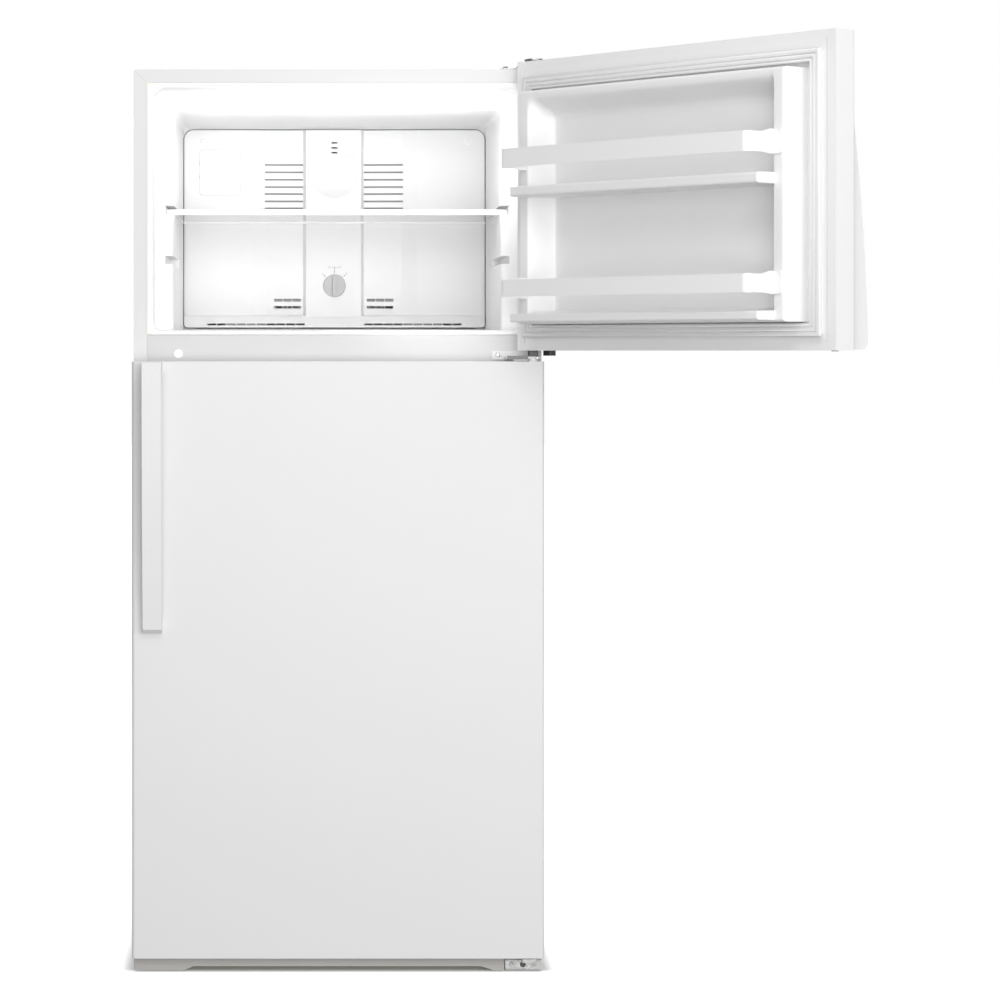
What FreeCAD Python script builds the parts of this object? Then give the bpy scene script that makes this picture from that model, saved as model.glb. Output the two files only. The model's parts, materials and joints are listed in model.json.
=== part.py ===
import FreeCAD, Part
import math
import os

# A top freezer refrigerator, 30 inch class, with both doors hinged on the right.
# It is drawn about the middle of the cabinet: X to the right, Y from the front flange
# (y = 0) to the back, Z up from the floor. The freezer door stands open, the other
# door is shut. Everything is moved at the end so that the origin is the middle of the
# sole of the front left levelling leg.

# ---- driving dimensions, millimetres ------------------------------------------------

# cabinet
HALF_WIDTH = 378.0
CABINET_TOP = 1667.0
CABINET_DEPTH = 690.0
SIDE_BOTTOM = 12.0
STEEL = 1.0
FLANGE = 24.6
FOAM_BOTTOM = 52.0
BOTTOM_RAIL_TOP = 78.6

# machine compartment, at the back of the base
MACHINE_FRONT = 470.0
MACHINE_TOP = 235.0
PAN_BOTTOM = 34.0
PAN_TOP = 37.0

# moulded liners
LINER = 1.5
LINER_GAP = 0.3
LIP_DEPTH = 10.0
LIP_WIDTH = 11.8
LIP_ROUND = 8.0
MOUTH_HALF = 341.0
STEP_Y = 50.0
STEP_ROUND = 9.0

# freezer compartment
FREEZER_FLOOR = 1184.0
FREEZER_MOUTH_TOP = 1631.0
FREEZER_CEILING = 1596.0
FREEZER_HALF = 306.0
COVER_SEAT_Y = 508.0
COIL_BACK_Y = 622.0
COIL_HALF = 290.0
GROOVE_HALF = 322.0
SHELF_GROOVE = (1401.0, 1418.0, 480.0)
SPARE_GROOVE = (1308.0, 1323.0, 300.0)

# fresh food compartment
FRESH_FLOOR = 88.0
FRESH_CEILING = 1096.0
FRESH_HALF = 330.0
FRESH_STEP_Y = 430.0
FRESH_STEP_Z = 275.0
FRESH_BACK_Y = 622.0
FRESH_SHELF_Z = (560.0, 820.0)
CRISPER_COVER_Z = 300.0

# doors
DOOR_BACK_Y = -14.0
DOOR_THICK = 50.0
DOOR_FRONT_Y = DOOR_BACK_Y - DOOR_THICK
DOOR_ROUND = 6.0
FREEZER_DOOR = (1146.0, 1677.0)
FRESH_DOOR = (32.0, 1126.0)
CAP = 14.0
RETURN = 18.0
GASKET_OUT = 353.0
GASKET_WIDE = 22.0
GASKET_HIGH = 13.0
PIVOT_X = 359.0
PIVOT_Y = -34.5
FREEZER_OPEN = 129.5
PIN_R = 4.0
RUNNING = 0.05

# handles
HANDLE_X = (-357.0, -322.0)
HANDLE_PROUD = 57.0
HANDLE_THIN = 18.0
HANDLE_WALL = 4.5

# what stands on the floor
LEG_X = 345.0
LEG_Y = 15.0
FOOT_R = 16.0
STUD_R = 5.0
ROLLER_X = 331.0
ROLLER_Y = 640.0
ROLLER_R = 16.0
AXLE_R = 4.0

# controls and fans
KNOB_Z = 1277.0
KNOB_R = 22.5
FAN_Z = 1505.0
COVER_Y = 505.0
COVER_RAISED_Y = 500.0
COVER_T = 2.5
LOUVRE_Z = (1522.0, 1507.0, 1492.0, 1477.0, 1463.0, 1448.0, 1434.0)

# liner lips, and the cross rail between them
FREEZER_LIP = (FREEZER_FLOOR - 8.4, FREEZER_MOUTH_TOP + 11.4)
FRESH_LIP = (FRESH_FLOOR - 9.0, FRESH_CEILING + 9.0)
MULLION = (FRESH_LIP[1] + 0.4, FREEZER_LIP[0] - 0.4)

# door liners: height span, half width, rise, rims (side, bottom, top), ledges
FREEZER_DYKE = (1194.0, 1616.0)
FREEZER_LEDGES = ((1197.0, 1212.0, 99.0), (1423.0, 1441.0, 99.0))
FREEZER_RIMS = (23.0, 17.0, 23.0)
FREEZER_DYKE_HALF = 317.0
FREEZER_RISE = 57.0
FRESH_DYKE = (112.0, 1072.0)
FRESH_RIMS = (22.0, 28.0, 27.0)
FRESH_DYKE_HALF = 322.0
FRESH_RISE = 45.0
FREEZER_FORM = (
    FREEZER_DYKE, FREEZER_DYKE_HALF, FREEZER_RISE, FREEZER_RIMS, FREEZER_LEDGES,
)
FRESH_FORM = (FRESH_DYKE, FRESH_DYKE_HALF, FRESH_RISE, FRESH_RIMS, ())

# hinges and screws
SCREW_R = 2.5
BOTTOM_SCREW_X = (321.0, 362.0)
BOTTOM_SCREW_Z = 14.0
BOTTOM_NOTCH = (341.5, 13.5, 5.5)
TOP_LEAF = (1679.5, 1682.5)
CENTRE_LEAF = (1131.0, 1135.0)
BOTTOM_LEAF = (21.0, 28.0)
TOP_SCREWS = ((312.0, 18.0), (312.0, 42.0))
TOP_BOLT = (358.0, 24.0)

# fresh food controls
CONTROL_Y = (70.0, 330.0)
CONTROL_Z = (1040.0, FRESH_CEILING - 0.2)
CONTROL_KNOB = (70.0, 1068.0)
SWITCH = (-120.0, 1058.0)
SWITCH_FRONT = 33.0
BULB = (-20.0, 240.0)

# machine compartment
COMPRESSOR = (-190.0, 575.0)
FAN_X = -40.0


# ---- building blocks ------------------------------------------------------------------

def vec(x, y, z):
    return FreeCAD.Vector(x, y, z)


def point_on(plane, a, b, level):
    """The point (a, b) of a plane, at a level along the plane's normal."""
    if plane == "xy":
        return vec(a, b, level)
    if plane == "xz":
        return vec(a, level, b)
    return vec(level, a, b)


def outline(plane, corners, level):
    """A closed wire through corners (a, b) or (a, b, radius), rounded where asked."""
    pieces = []
    count = len(corners)
    for i in range(count):
        before, here, after = corners[i - 1], corners[i], corners[(i + 1) % count]
        radius = here[2] if len(here) > 2 else 0.0
        corner = vec(here[0], here[1], 0)
        if radius <= 0:
            pieces.append((corner, None, corner))
            continue
        back = (vec(before[0], before[1], 0) - corner).normalize()
        ahead = (vec(after[0], after[1], 0) - corner).normalize()
        half = back.getAngle(ahead) / 2
        inward = (back + ahead).normalize()
        reach = radius / math.tan(half)
        middle = corner + inward * (radius / math.sin(half) - radius)
        pieces.append((corner + back * reach, middle, corner + ahead * reach))
    edges = []
    for i in range(count):
        start, middle, end = (
            None if p is None else point_on(plane, p.x, p.y, level) for p in pieces[i]
        )
        following = pieces[(i + 1) % count][0]
        follow = point_on(plane, following.x, following.y, level)
        if middle is not None:
            edges.append(Part.Arc(start, middle, end).toShape())
        if end.distanceToPoint(follow) > 1e-6:
            edges.append(Part.LineSegment(end, follow).toShape())
    return Part.Wire(edges)


def slab(plane, corners, low, high):
    """The outline on a plane, made solid from low to high along the plane's normal."""
    face = Part.Face(outline(plane, corners, low))
    return face.extrude(point_on(plane, 0, 0, high - low))


def rect(a0, a1, b0, b1, low_round=0.0, high_round=None):
    """A rectangle's corners; its two upper corners may have a radius of their own."""
    top = low_round if high_round is None else high_round
    return [(a0, b0, low_round), (a1, b0, low_round), (a1, b1, top), (a0, b1, top)]


def box(x0, x1, y0, y1, z0, z1):
    return Part.makeBox(x1 - x0, y1 - y0, z1 - z0, vec(x0, y0, z0))


def rod(axis, a, b, radius, low, high):
    """A cylinder along x, y or z; (a, b) is its place on the other two axes."""
    plane = {"x": "yz", "y": "xz", "z": "xy"}[axis]
    start = point_on(plane, a, b, low)
    direction = point_on(plane, 0, 0, 1)
    return Part.makeCylinder(radius, high - low, start, direction)


def hexagon(axis, a, b, across, low, high):
    """A hexagonal head, its size given across the flats."""
    plane = {"x": "yz", "y": "xz", "z": "xy"}[axis]
    reach = across / math.sqrt(3)
    turns = [math.radians(60 * i + 30) for i in range(6)]
    corners = [(a + reach * math.cos(t), b + reach * math.sin(t)) for t in turns]
    return slab(plane, corners, low, high)


def fuse(*shapes):
    return shapes[0].fuse(list(shapes[1:])).removeSplitter()


def cut(shape, *tools):
    return shape.cut(list(tools))


def mirrored(shape):
    return shape.mirror(vec(0, 0, 0), vec(1, 0, 0))


def pair(shape):
    """The shape and its mirror image on the other side of the cabinet."""
    return [shape, mirrored(shape)]


def rounded(shape, radius, wanted):
    """Rounds every edge for which wanted(edge) holds."""
    return shape.makeFillet(radius, [e for e in shape.Edges if wanted(e)])


def flat_at(edge, axis, value):
    """Whether an edge lies wholly at one value of an axis."""
    bounds = edge.BoundBox
    low = getattr(bounds, axis + "Min")
    high = getattr(bounds, axis + "Max")
    return abs(low - value) < 1e-3 and abs(high - value) < 1e-3


# ---- liners, insulation and cabinet -----------------------------------------------------

def freezer_void(grow):
    """The freezer's space, grown on all sides: wide mouth, deep part, coil space."""
    floor = FREEZER_FLOOR - grow
    mouth_half = MOUTH_HALF + grow
    deep_half = FREEZER_HALF + grow
    mouth_top = FREEZER_MOUTH_TOP + grow
    ceiling = FREEZER_CEILING + grow
    step = STEP_Y + grow
    mouth = rect(-mouth_half, mouth_half, floor, mouth_top, 14 + grow, 24 + grow)
    deep = rect(-deep_half, deep_half, floor, ceiling, 0, 10 + grow)
    void = fuse(slab("xz", mouth, -10, step), slab("xz", deep, 0, COVER_SEAT_Y + grow))

    def on_step(edge):
        bounds = edge.BoundBox
        inside = bounds.XMin > -deep_half - 0.1 and bounds.XMax < deep_half + 0.1
        return flat_at(edge, "Y", step) and inside and bounds.ZMax < ceiling + 0.1

    void = rounded(void, STEP_ROUND - grow, on_step)
    coil = rect(-COIL_HALF - grow, COIL_HALF + grow, 1190 - grow, 1592.5 + grow, 8)
    spaces = [slab("xz", coil, COVER_SEAT_Y - 8, COIL_BACK_Y + grow)]
    for low, high, back in (SHELF_GROOVE, SPARE_GROOVE):
        groove = box(300, GROOVE_HALF + grow, 40, back + grow, low - grow, high + grow)
        spaces += pair(groove)
    return void.fuse(spaces).removeSplitter()


def fresh_void(grow):
    """The fresh food space, grown on all sides, with the raised floor at the back."""
    floor = FRESH_FLOOR - grow
    ceiling = FRESH_CEILING + grow
    mouth_half = MOUTH_HALF + grow
    side = [
        (0, floor),
        (FRESH_STEP_Y + grow, floor, 12),
        (FRESH_STEP_Y + grow, FRESH_STEP_Z - grow, 12),
        (FRESH_BACK_Y + grow, FRESH_STEP_Z - grow, 12),
        (FRESH_BACK_Y + grow, ceiling, 12),
        (0, ceiling),
    ]
    deep = slab("yz", side, -FRESH_HALF - grow, FRESH_HALF + grow)
    mouth = rect(-mouth_half, mouth_half, floor, ceiling, 14 + grow, 14 + grow)
    return fuse(slab("xz", mouth, -10, STEP_Y + grow), deep)


def lip_block(low, high, grow):
    half = MOUTH_HALF + LIP_WIDTH + grow
    corners = rect(-half, half, low - grow, high + grow, 8 + grow)
    return slab("xz", corners, 0, LIP_DEPTH + grow)


def liner(void, lip_low, lip_high):
    """A thin moulded skin round a space, with a thick rounded lip at its mouth."""
    ahead_of_face = box(-400, 400, -20, 0, 0, 1700)
    outer = cut(void(LINER), ahead_of_face)
    shape = cut(fuse(outer, lip_block(lip_low, lip_high, 0)), void(0))

    def on_mouth(edge):
        bounds = edge.BoundBox
        inside = bounds.XMin > -MOUTH_HALF - 0.1 and bounds.XMax < MOUTH_HALF + 0.1
        within = bounds.ZMin > lip_low + 3 and bounds.ZMax < lip_high - 3
        return flat_at(edge, "Y", 0) and inside and within

    return rounded(shape, LIP_ROUND, on_mouth)


def freezer_liner():
    return liner(freezer_void, *FREEZER_LIP)


def fresh_food_liner():
    shape = liner(fresh_void, *FRESH_LIP)
    ledges = []
    for z in FRESH_SHELF_Z:
        ledges += pair(box(FRESH_HALF - 12, FRESH_HALF + 0.5, 70, 600, z - 8, z))
    cover_rest = (CRISPER_COVER_Z - 8, CRISPER_COVER_Z)
    ledges += pair(box(FRESH_HALF - 8, FRESH_HALF + 0.5, 70, 425, *cover_rest))
    return shape.fuse(ledges)


def cabinet_shell():
    """The folded steel wrapper: two sides, the top, and the flange round the front."""
    outer = rect(-HALF_WIDTH, HALF_WIDTH, SIDE_BOTTOM, CABINET_TOP, 0, 4)
    inner_half = HALF_WIDTH - STEEL
    inner = rect(-inner_half, inner_half, SIDE_BOTTOM - 5, CABINET_TOP - STEEL, 0, 3)
    wrapper = slab("xz", outer, 0, CABINET_DEPTH)
    wrapper = cut(wrapper, slab("xz", inner, -5, CABINET_DEPTH + 5))
    ring_half = HALF_WIDTH - FLANGE
    ring = slab("xz", rect(-inner_half, inner_half, 47, CABINET_TOP - STEEL, 0, 3), 0, STEEL)
    opening = box(-ring_half, ring_half, -5, 5, BOTTOM_RAIL_TOP, CABINET_TOP - 24)
    return fuse(wrapper, cut(ring, opening))


def cabinet_foam():
    """The poured insulation between the steel wrapper and the two liners."""
    half = HALF_WIDTH - STEEL
    top = CABINET_TOP - STEEL
    corners = rect(-half, half, FOAM_BOTTOM, top, 0, 3)
    block = slab("xz", corners, STEEL, CABINET_DEPTH - STEEL)
    gap = LINER + LINER_GAP
    machine = box(-400, 400, MACHINE_FRONT, 700, 0, MACHINE_TOP)
    mullion_space = box(-354, 354, 0, 2.2, MULLION[0] - 2, MULLION[1] + 2)
    tools = [freezer_void(gap), fresh_void(gap), machine, mullion_space]
    tools += [lip_block(*FREEZER_LIP, LINER_GAP), lip_block(*FRESH_LIP, LINER_GAP)]
    return cut(block, *tools)


def rear_panel():
    half = HALF_WIDTH - STEEL
    panel = box(-half, half, CABINET_DEPTH - STEEL, CABINET_DEPTH, MACHINE_TOP, 1665.9)
    beads = []
    for x in (-220, 0, 220):
        bead = rect(x - 14, x + 14, 330, 1560, 13.9)
        beads.append(slab("xz", bead, CABINET_DEPTH - 0.5, CABINET_DEPTH + 3))
    return fuse(panel, *beads)


def mullion_cover():
    """The steel cross rail's face between the two compartments."""
    cover = box(-353.0, 353.0, 0, 2.0, *MULLION)
    long_front = lambda e: flat_at(e, "Y", 0) and e.Length > 400
    return rounded(cover, 1.2, long_front)


def base_frame():
    """Side rails, front cross rail, corner plates for the legs, and the rear pan."""
    half = HALF_WIDTH - STEEL
    pieces = [box(-half, half, 2, 5, SIDE_BOTTOM, FOAM_BOTTOM)]
    pieces.append(box(-half, half, MACHINE_FRONT, 686, PAN_BOTTOM, PAN_TOP))
    pieces += pair(box(half - 2, half, 2, 686, SIDE_BOTTOM, FOAM_BOTTOM))
    pieces += pair(box(half - 32, half, 2, MACHINE_FRONT, FOAM_BOTTOM - 2, FOAM_BOTTOM))
    pieces += pair(box(309, 375, 2, 45, 42, 46))
    pieces += pair(box(309, 375, -22, 4, 27, 30))
    pieces += pair(box(309, 375, -22, -19, 8, 30))
    frame = fuse(*pieces)
    holes = pair(rod("z", LEG_X, LEG_Y, STUD_R + RUNNING, 40, 50))
    holes += [rod("y", x, BOTTOM_SCREW_Z, SCREW_R, -30, -10) for x in BOTTOM_SCREW_X]
    return cut(frame, *holes)


def toe_grille():
    """The low front grille with its deeper ends and its clips."""
    front = [
        (-376, 29), (-376, 2, 8), (-285, 2, 6), (-266, 10, 6),
        (264, 10, 6), (289, 2, 6), (307, 2), (307, 29),
    ]
    pieces = [slab("xz", front, -25, -22)]
    pieces.append(box(-305, 305, -22, -2, 26.5, 29))
    pieces += [box(x - 10, x + 10, -2.5, 2, 20, 29) for x in (-200, 0, 200)]
    return fuse(*pieces)


# ---- freezer compartment ---------------------------------------------------------------

def cover_front_line():
    """The evaporator cover's relief, seen from above: flats, channels, raised middle."""
    right = [
        (54, COVER_RAISED_Y, 2), (59, 513, 2), (136, 510, 12),
        (167, COVER_Y, 12), (304, COVER_Y),
    ]
    left = [(-x, *rest) for x, *rest in reversed(right)]
    left[-1] = (-58, COVER_RAISED_Y, 2)
    left[-2] = (-63, 513, 2)
    return left + right


def evaporator_cover():
    front = cover_front_line()
    back = [(x, y + COVER_T, *rest) for x, y, *rest in reversed(front)]
    relief = slab("xy", front + back, 1214, 1592)
    bend = [
        (494, 1192.5), (494, 1199, 3), (502, 1217, 6), (507.5, 1217),
        (507.5, 1214), (505, 1214), (497, 1199), (497, 1192.5),
    ]
    band = slab("yz", bend, -304, 304)
    edge = slab("xz", rect(-304, 304, 1192.5, 1592, 8, 20), 480, 530)
    panel = relief.fuse(band).common(edge)
    sphere_r = 135.0
    dome = Part.makeSphere(sphere_r, vec(0, COVER_RAISED_Y - 10 + sphere_r, FAN_Z))
    dome = dome.common(box(-60, 60, 480, COVER_RAISED_Y + 1, FAN_Z - 60, FAN_Z + 60))
    slots = [box(-6, 6, 490, 506, z - 1.5, z + 1.5) for z in (1546, 1556, 1566)]
    for z in LOUVRE_Z:
        slots.append(box(-141, -64, 504, 520, z - 1.8, z + 1.8))
        slots.append(box(60, 139, 504, 520, z - 1.8, z + 1.8))
    for start in (-122, 66):
        for column in range(3):
            x = start + 18.4 * column
            slots.append(box(x, x + 16.8, 504, 520, 1245, 1251))
            slots.append(box(x, x + 16.8, 504, 520, 1230, 1236))
            slots.append(box(x, x + 16.8, 490, 500.6, 1209, 1211.5))
    for side in (-1, 1):
        for i in range(6):
            x = side * (191 + 18.8 * i)
            slots.append(box(x - 1.4, x + 1.4, 500, 506.4, 1227, 1249))
        for i in range(10):
            x = side * (69 + 19.9 * i)
            slots.append(box(x - 8.8, x + 8.8, 480, 500, 1196.8, 1200.6))
    shaft = rod("y", 0, KNOB_Z, AXLE_R + RUNNING, 490, 510)
    return cut(fuse(panel, dome), shaft, *slots)


def wiring_cover():
    """The small rectangular lid on the evaporator cover, with its screw."""
    lid = slab("xz", rect(-272, -191, 1461, 1552, 5), 503.6, 505)
    screw = rod("y", -201, 1471, 2.6, 503.0, 503.7)
    slot = box(-203, -199, 502.9, 503.3, 1470.6, 1471.4)
    return cut(fuse(lid, screw), slot)


def air_duct():
    """Foam blocks behind the louvres and behind the shut slots of the bottom row."""
    blocks = []
    for corners in ([(-150, 515), (-62, 521), (-62, 536), (-150, 536)],
                    [(60, 521), (150, 515), (150, 536), (60, 536)]):
        blocks.append(slab("xy", corners, 1424, 1534))
        blocks.append(slab("xy", corners, 1241, 1262))
    for x0, x1 in ((-220, -141), (141, 220)):
        blocks.append(box(x0, x1, 501, 507, 1194, 1204))
    return Part.makeCompound(blocks)


def defrost_heater():
    """A glass-tube heater across the bottom of the coil."""
    tube = rod("x", 582, 1205, 5, -230, 230)
    return fuse(tube, *pair(rod("x", 582, 1205, 8, 230, 246)))


def evaporator_coil():
    """Fins on a serpentine of tube behind the cover, and the heater below them."""
    fins = [box(x - 0.6, x + 0.6, 552, 612, 1216, 1400) for x in range(-240, 241, 24)]
    tubes = []
    rows = (1232, 1264, 1296, 1328, 1360, 1392)
    for y in (567, 597):
        tubes += [rod("x", y, z, 4, -256, 256) for z in rows]
        for i, z in enumerate(rows[:-1]):
            x = 256 if i % 2 else -256
            tubes.append(rod("z", x, y, 4, z, z + 32))
    joiner = rod("y", 256, 1392, 4, 567, 597)
    return Part.makeCompound([fuse(*fins, *tubes, joiner), defrost_heater()])


def evaporator_fan_motor():
    body = rod("y", 0, FAN_Z, 24, 578, 612)
    body = rounded(body, 4, lambda e: flat_at(e, "Y", 578) or flat_at(e, "Y", 612))
    shaft = rod("y", 0, FAN_Z, 2.5, 548, 579)
    arm = box(-70, 70, 604, 620, FAN_Z - 6, FAN_Z + 6)
    return fuse(body, arm, shaft)


def fan_blade(radius, hub_r, bore_r, depth):
    """A four-bladed fan about the Y axis, its back at y = 0, its front at y = -depth."""
    hub = rod("y", 0, 0, hub_r, -depth, 0)
    blade = box(hub_r - 3, radius, -0.9, 0.9, -radius * 0.34, radius * 0.34)
    blade.rotate(vec(0, 0, 0), vec(1, 0, 0), 32)
    blade.translate(vec(0, -depth / 2, 0))
    sweep = rod("y", 0, 0, radius, -depth - 30, 30)
    pieces = [hub]
    for i in range(4):
        turned = blade.copy()
        turned.rotate(vec(0, 0, 0), vec(0, 1, 0), 90 * i)
        pieces.append(turned)
    fan = fuse(*pieces).common(sweep)
    return cut(fan, rod("y", 0, 0, bore_r, -depth - 1, 1))


def evaporator_fan_blade():
    fan = fan_blade(46, 13, 2.5 + RUNNING, 16)
    fan.translate(vec(0, 566, FAN_Z))
    return fan


def freezer_control_knob():
    """A round dial with a raised grip bar, and its shaft through the cover."""
    face = COVER_RAISED_Y - 0.4
    disc = rod("y", 0, KNOB_Z, KNOB_R, face - 6, face)
    disc = rounded(disc, 1.6, lambda e: flat_at(e, "Y", face - 6))
    grip = slab("xz", rect(-3.2, 3.2, KNOB_Z - 20, KNOB_Z + 20, 3.1), face - 17, face - 5)
    shaft = rod("y", 0, KNOB_Z, AXLE_R, face - 1, face + 16)
    pointer = box(-0.7, 0.7, face - 17.6, face - 16.5, KNOB_Z + 4, KNOB_Z + 18)
    return fuse(disc, grip, shaft, pointer)


def freezer_shelf_glass():
    return box(-317, 317, 102.2, 473.8, 1404.1, 1408.1)


def freezer_shelf_trim():
    """The shelf's front and rear trims, and the rails under the glass at its sides."""
    nose = [
        (92, 1401.6, 2), (102, 1401.6), (102, 1412, 1), (95, 1412, 3), (92, 1408, 2),
    ]
    front = slab("yz", nose, -321, 321)
    rear = slab("yz", rect(474, 483, 1401.6, 1410, 2), -303, 303)
    rail = fuse(
        box(304, 321, 102, 473, 1401.2, 1404),
        box(317.2, 321, 102, 473, 1401.2, 1409),
    )
    return Part.makeCompound([front, rear, *pair(rail)])


# ---- hinges, screws and plugs ------------------------------------------------------------

def top_hinge():
    """A strap screwed to the cabinet's top, joggled up over the door, with its pin."""
    low, high = TOP_LEAF
    joggle = [
        (300, CABINET_TOP), (331, CABINET_TOP, 3), (342, low, 3), (378, low),
        (378, high), (341, high, 3), (330, CABINET_TOP + 3, 3), (300, CABINET_TOP + 3),
    ]
    strap = slab("xz", joggle, 6, 56)
    leaf_plan = [(344, 8), (344, -30, 6), (352, -51, 10), (377, -51, 12), (377, 8)]
    leaf = slab("xy", leaf_plan, low, high)
    pin = rod("z", PIVOT_X, PIVOT_Y, PIN_R, FREEZER_DOOR[1] - CAP + 1.5, low)
    holes = [rod("z", x, y, SCREW_R, CABINET_TOP - 1, high + 1) for x, y in TOP_SCREWS]
    holes.append(rod("z", *TOP_BOLT, SCREW_R, low - 1, high + 1))
    return cut(fuse(strap, leaf, pin), *holes)


def centre_hinge():
    """A plate on the cross rail, a leaf between the doors, and a pin up and down."""
    plate = slab("xz", rect(286, 377, 1129.2, 1145.4, 2.5), -3, 0)
    leaf_plan = [(310, -1), (310, -38, 4), (322, -50, 4), (374, -50, 10), (377, -1)]
    leaf = slab("xy", leaf_plan, *CENTRE_LEAF)
    lip = slab("xz", rect(322, 349, 1127.4, 1134, 2), -50, -46.5)
    low = FRESH_DOOR[1] - CAP + 1.5
    pin = rod("z", PIVOT_X, PIVOT_Y, PIN_R, low, FREEZER_DOOR[0] + CAP - 1.5)
    hole = rod("y", 297, 1138, SCREW_R, -5, 2)
    slot = slab("xy", rect(322, 345, -30, -22, 3.9), 1120, 1140)
    return cut(fuse(plate, leaf, lip, pin), hole, slot)


def bottom_hinge():
    """A bracket on the front corner of the base, with the pin the door stands on."""
    low, high = BOTTOM_LEAF
    face = [
        (309, 5, 2), (377, 5, 2), (377, low, 1), (368, low),
        (368, high), (338, high), (338, low), (309, low, 1),
    ]
    plate = slab("xz", face, -25, -22)
    leaf_plan = [(338, -23), (338, -50, 3), (368, -50, 6), (368, -23)]
    leaf = slab("xy", leaf_plan, *BOTTOM_LEAF)
    foot = box(309, 377, -22.5, -10, 3, 6)
    pin = rod("z", PIVOT_X, PIVOT_Y, PIN_R, high - 1, FRESH_DOOR[0] + CAP - 1.5)
    shoulder = rod("z", PIVOT_X, PIVOT_Y, 9, high - 1, FRESH_DOOR[0] - 1.2)
    holes = [rod("y", x, BOTTOM_SCREW_Z, SCREW_R, -30, -15) for x in BOTTOM_SCREW_X]
    holes.append(rod("y", *BOTTOM_NOTCH, -30, -18))
    return cut(fuse(plate, leaf, foot, pin, shoulder), *holes)


def hinge_screws():
    screws = []
    for x in BOTTOM_SCREW_X:
        head = hexagon("y", x, BOTTOM_SCREW_Z, 8, -29, -25)
        screws.append(fuse(head, rod("y", x, BOTTOM_SCREW_Z, SCREW_R, -25.5, -16)))
    for x, y in TOP_SCREWS:
        head = hexagon("z", x, y, 9, CABINET_TOP + 3, CABINET_TOP + 7)
        screws.append(fuse(head, rod("z", x, y, SCREW_R, CABINET_TOP, CABINET_TOP + 4)))
    high = TOP_LEAF[1]
    head = hexagon("z", *TOP_BOLT, 10, high, high + 4)
    screws.append(fuse(head, rod("z", *TOP_BOLT, SCREW_R, CABINET_TOP, high + 1)))
    head = rod("y", 297, 1138, 5, -5.4, -3)
    head = rounded(head, 1.6, lambda e: flat_at(e, "Y", -5.4))
    screws.append(fuse(head, rod("y", 297, 1138, SCREW_R, -3.5, 0)))
    return Part.makeCompound(screws)


def hole_plugs():
    """Caps over the spare hinge holes on the left, and over the cover's screws."""
    top = CABINET_TOP + 1.4
    plugs = []
    for a, b in TOP_SCREWS + (TOP_BOLT,):
        plug = rod("z", -a, b, 6, CABINET_TOP, top)
        plugs.append(rounded(plug, 0.5, lambda e: flat_at(e, "Z", top)))
    rail_plug = rod("y", -295, 1140, 8, -1.6, 0)
    plugs.append(rounded(rail_plug, 0.5, lambda e: flat_at(e, "Y", -1.6)))
    plugs += [rod("y", x, 1570, 8, COVER_Y - 0.6, COVER_Y) for x in (-266, 270)]
    return Part.makeCompound(plugs)


# ---- doors -------------------------------------------------------------------------------

def door_plan(inset):
    half = HALF_WIDTH - inset
    turn = DOOR_ROUND - inset
    return [
        (-half, DOOR_FRONT_Y + inset, turn), (half, DOOR_FRONT_Y + inset, turn),
        (half, DOOR_BACK_Y), (-half, DOOR_BACK_Y),
    ]


def door_skin(span):
    """The painted steel front and sides, with flanges returned behind."""
    low, high = span
    outer = slab("xy", door_plan(0), low, high)
    inner = slab("xy", door_plan(STEEL), low - 1, high + 1)
    half = HALF_WIDTH - 0.5
    flange = box(half - RETURN, half, DOOR_BACK_Y - STEEL, DOOR_BACK_Y, low + CAP, high - CAP)
    return fuse(cut(outer, inner), *pair(flange))


def door_caps(span, cap_holes):
    """The moulded top and bottom caps, holed for the hinge pins."""
    low, high = span
    caps = []
    for z in (low, high - CAP):
        cap = slab("xy", door_plan(STEEL), z, z + CAP)
        caps.append(cut(cap, rod("z", PIVOT_X, PIVOT_Y, PIN_R + RUNNING, z - 1, z + CAP + 1)))
    return Part.makeCompound(caps + cap_holes)


def dyke(span, half, rise, rims, grow, ledges):
    """The raised rim of a door liner with its recess, and the moulded ledges in it.

    rims is (side, bottom, top); a positive grow draws every face in by that much."""
    low, high = span
    side, bottom, top = rims
    base = DOOR_BACK_Y
    block = box(-half + grow, half - grow, base - 3, base + rise - grow, low + grow, high - grow)
    recess = slab("xz", rect(-half + side - grow, half - side + grow,
                             low + bottom - grow, high - top + grow, 26, 26),
                  base + 8 - grow, base + 200)
    shape = cut(block, recess)
    for ledge_low, ledge_high, reach in ledges:
        shelf = box(-296 + grow, 296 - grow, base, base + reach - grow,
                    ledge_low + grow, ledge_high - grow)
        shape = shape.fuse(shelf)
    return shape.removeSplitter()


def door_liner(span, rim, half, rise, rims, ledges):
    """A moulded skin over the dyke, and the flat border the gasket is held by."""
    low, high = span
    flat = box(-358.5, 358.5, DOOR_BACK_Y - 1.5, DOOR_BACK_Y, low + CAP, high - CAP)
    plain = dyke(rim, half, rise, rims, 0, ())
    softened = rounded(plain, 5, lambda e: flat_at(e, "Y", DOOR_BACK_Y + rise))
    outer = fuse(softened, dyke(rim, half, rise, rims, 0, ledges).common(
        box(-297, 297, DOOR_BACK_Y, DOOR_BACK_Y + 150, rim[0] + 1, rim[1] - 1)))
    inner = dyke(rim, half, rise, rims, 1.6, ledges)
    window = box(-half + 1.6, half - 1.6, DOOR_BACK_Y - 5, DOOR_BACK_Y + 1,
                 rim[0] + 1.6, rim[1] - 1.6)
    hollow = inner.common(box(-400, 400, DOOR_BACK_Y - 1, 400, 0, 2000))
    body = cut(outer.common(box(-400, 400, DOOR_BACK_Y, 400, 0, 2000)), hollow)
    return fuse(cut(flat, window), body)


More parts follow.
